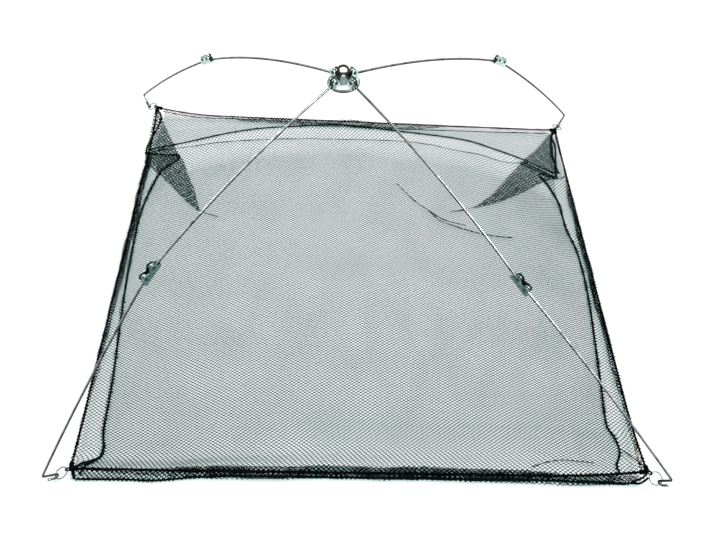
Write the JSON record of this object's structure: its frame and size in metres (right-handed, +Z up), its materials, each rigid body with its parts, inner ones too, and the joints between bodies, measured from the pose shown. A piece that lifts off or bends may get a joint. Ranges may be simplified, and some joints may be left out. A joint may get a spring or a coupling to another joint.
{
  "type": "lift net",
  "caption": "Square lift net for bait fish: a black netting bag about 1 m square, hung by corner rings from a folding frame of four sprung steel arms with a lifting eye on the hub",
  "frame": {"origin": "on the ground under the hub's axis, at the middle knot of the net's floor", "axes": "+Z up, +Y from the near edge of the bag to the far edge, +X to the right in the picture"},
  "size_m": [1.1024, 1.0643, 0.5285],
  "materials": {
    "zinc_steel": "zinc plated spring wire, satin",
    "pale_zinc": "blue white zinc plated sheet, folded",
    "dark_steel": "dark forged steel",
    "black_rope": "black twisted border rope",
    "black_netting": "black knotless fine mesh netting"
  },
  "bodies": {
    "hub_and_net": {"hub_cross": "pale_zinc", "stop_ring": "zinc_steel", "lifting_eye": "dark_steel", "hub_rivet_far_left": "zinc_steel", "hub_rivet_far_right": "zinc_steel", "hub_rivet_near_right": "zinc_steel", "hub_rivet_near_left": "zinc_steel", "net_floor": "black_netting", "net_wall_near": "black_netting", "net_wall_right": "black_netting", "net_wall_far": "black_netting", "net_wall_left": "black_netting", "top_rope_near": "black_rope", "top_rope_right": "black_rope", "top_rope_far": "black_rope", "top_rope_left": "black_rope", "bottom_rope_near": "black_rope", "bottom_rope_right": "black_rope", "bottom_rope_far": "black_rope", "bottom_rope_left": "black_rope", "corner_seam_far_left": "black_rope", "corner_seam_far_right": "black_rope", "corner_seam_near_right": "black_rope", "corner_seam_near_left": "black_rope", "corner_loop_far_left": "black_rope", "corner_loop_far_right": "black_rope", "corner_loop_near_right": "black_rope", "corner_loop_near_left": "black_rope", "far_left_tuck": "black_netting", "far_right_tuck": "black_netting"},
    "inner_arm_far_left": {"inner_rod_far_left": "zinc_steel"},
    "link_far_left": {"link_far_left": "pale_zinc", "link_inner_rivet_far_left": "zinc_steel", "link_outer_rivet_far_left": "zinc_steel"},
    "outer_arm_far_left": {"outer_rod_far_left": "zinc_steel"},
    "ring_far_left": {"corner_ring_far_left": "zinc_steel"},
    "inner_arm_far_right": {"inner_rod_far_right": "zinc_steel"},
    "link_far_right": {"link_far_right": "pale_zinc", "link_inner_rivet_far_right": "zinc_steel", "link_outer_rivet_far_right": "zinc_steel"},
    "outer_arm_far_right": {"outer_rod_far_right": "zinc_steel"},
    "ring_far_right": {"corner_ring_far_right": "zinc_steel"},
    "inner_arm_near_right": {"inner_rod_near_right": "zinc_steel"},
    "link_near_right": {"link_near_right": "pale_zinc", "link_inner_rivet_near_right": "zinc_steel", "link_outer_rivet_near_right": "zinc_steel"},
    "outer_arm_near_right": {"outer_rod_near_right": "zinc_steel"},
    "ring_near_right": {"corner_ring_near_right": "zinc_steel"},
    "inner_arm_near_left": {"inner_rod_near_left": "zinc_steel"},
    "link_near_left": {"link_near_left": "pale_zinc", "link_inner_rivet_near_left": "zinc_steel", "link_outer_rivet_near_left": "zinc_steel"},
    "outer_arm_near_left": {"outer_rod_near_left": "zinc_steel"},
    "ring_near_left": {"corner_ring_near_left": "zinc_steel"}
  },
  "joints": [
    {"name": "hub_pivot_far_left", "type": "hinge", "parent": "hub_and_net", "child": "inner_arm_far_left", "pos_m": [-0.01531, 0.0158, 0.50366], "axis": [0.7181, 0.6959, 0], "range_deg": [0, 95]},
    {"name": "link_inner_pivot_far_left", "type": "hinge", "parent": "inner_arm_far_left", "child": "link_far_left", "pos_m": [-0.29581, 0.30526, 0.32924], "axis": [-0.7181, -0.6959, 0], "range_deg": [-100, 0]},
    {"name": "link_outer_pivot_far_left", "type": "hinge", "parent": "link_far_left", "child": "outer_arm_far_left", "pos_m": [-0.30859, 0.31844, 0.31712], "axis": [-0.7181, -0.6959, 0], "range_deg": [-96, 0]},
    {"name": "ring_roll_far_left", "type": "hinge", "parent": "hub_and_net", "child": "ring_far_left", "pos_m": [-0.49829, 0.52207, 0.03143], "axis": [-0.8118, 0.4955, -0.309], "range_deg": [-12, 25]},
    {"name": "hub_pivot_far_right", "type": "hinge", "parent": "hub_and_net", "child": "inner_arm_far_right", "pos_m": [0.01598, 0.01512, 0.50366], "axis": [0.6871, -0.7266, 0], "range_deg": [0, 95]},
    {"name": "link_inner_pivot_far_right", "type": "hinge", "parent": "inner_arm_far_right", "child": "link_far_right", "pos_m": [0.31206, 0.29511, 0.33985], "axis": [-0.6871, 0.7266, 0], "range_deg": [-103, 0]},
    {"name": "link_outer_pivot_far_right", "type": "hinge", "parent": "link_far_right", "child": "outer_arm_far_right", "pos_m": [0.32509, 0.30742, 0.3271], "axis": [-0.6871, 0.7266, 0], "range_deg": [-99, 0]},
    {"name": "ring_roll_far_right", "type": "hinge", "parent": "hub_and_net", "child": "ring_far_right", "pos_m": [0.51115, 0.47352, 0.01405], "axis": [0.4391, 0.8436, -0.309], "range_deg": [-25, 25]},
    {"name": "hub_pivot_near_right", "type": "hinge", "parent": "hub_and_net", "child": "inner_arm_near_right", "pos_m": [0.01632, -0.01475, 0.50366], "axis": [-0.6704, -0.742, 0], "range_deg": [0, 95]},
    {"name": "link_inner_pivot_near_right", "type": "hinge", "parent": "inner_arm_near_right", "child": "link_near_right", "pos_m": [0.30243, -0.27327, 0.29342], "axis": [0.6704, 0.742, 0], "range_deg": [-94, 0]},
    {"name": "link_outer_pivot_near_right", "type": "hinge", "parent": "link_near_right", "child": "outer_arm_near_right", "pos_m": [0.31616, -0.28567, 0.28152], "axis": [0.6704, 0.742, 0], "range_deg": [-90, 0]},
    {"name": "ring_roll_near_right", "type": "hinge", "parent": "hub_and_net", "child": "ring_near_right", "pos_m": [0.54463, -0.4934, 0.0316], "axis": [0.7328, -0.6062, -0.309], "range_deg": [-25, 25]},
    {"name": "hub_pivot_near_left", "type": "hinge", "parent": "hub_and_net", "child": "inner_arm_near_left", "pos_m": [-0.01556, -0.01556, 0.50366], "axis": [-0.7071, 0.7071, 0], "range_deg": [0, 95]},
    {"name": "link_inner_pivot_near_left", "type": "hinge", "parent": "inner_arm_near_left", "child": "link_near_left", "pos_m": [-0.30568, -0.30568, 0.34699], "axis": [0.7071, -0.7071, 0], "range_deg": [-104, 0]},
    {"name": "link_outer_pivot_near_left", "type": "hinge", "parent": "link_near_left", "child": "outer_arm_near_left", "pos_m": [-0.31831, -0.31831, 0.33414], "axis": [0.7071, -0.7071, 0], "range_deg": [-101, 0]},
    {"name": "ring_roll_near_left", "type": "hinge", "parent": "hub_and_net", "child": "ring_near_left", "pos_m": [-0.48296, -0.49364, 0.01368], "axis": [-0.8633, -0.3989, -0.309], "range_deg": [-25, 12]}
  ]
}
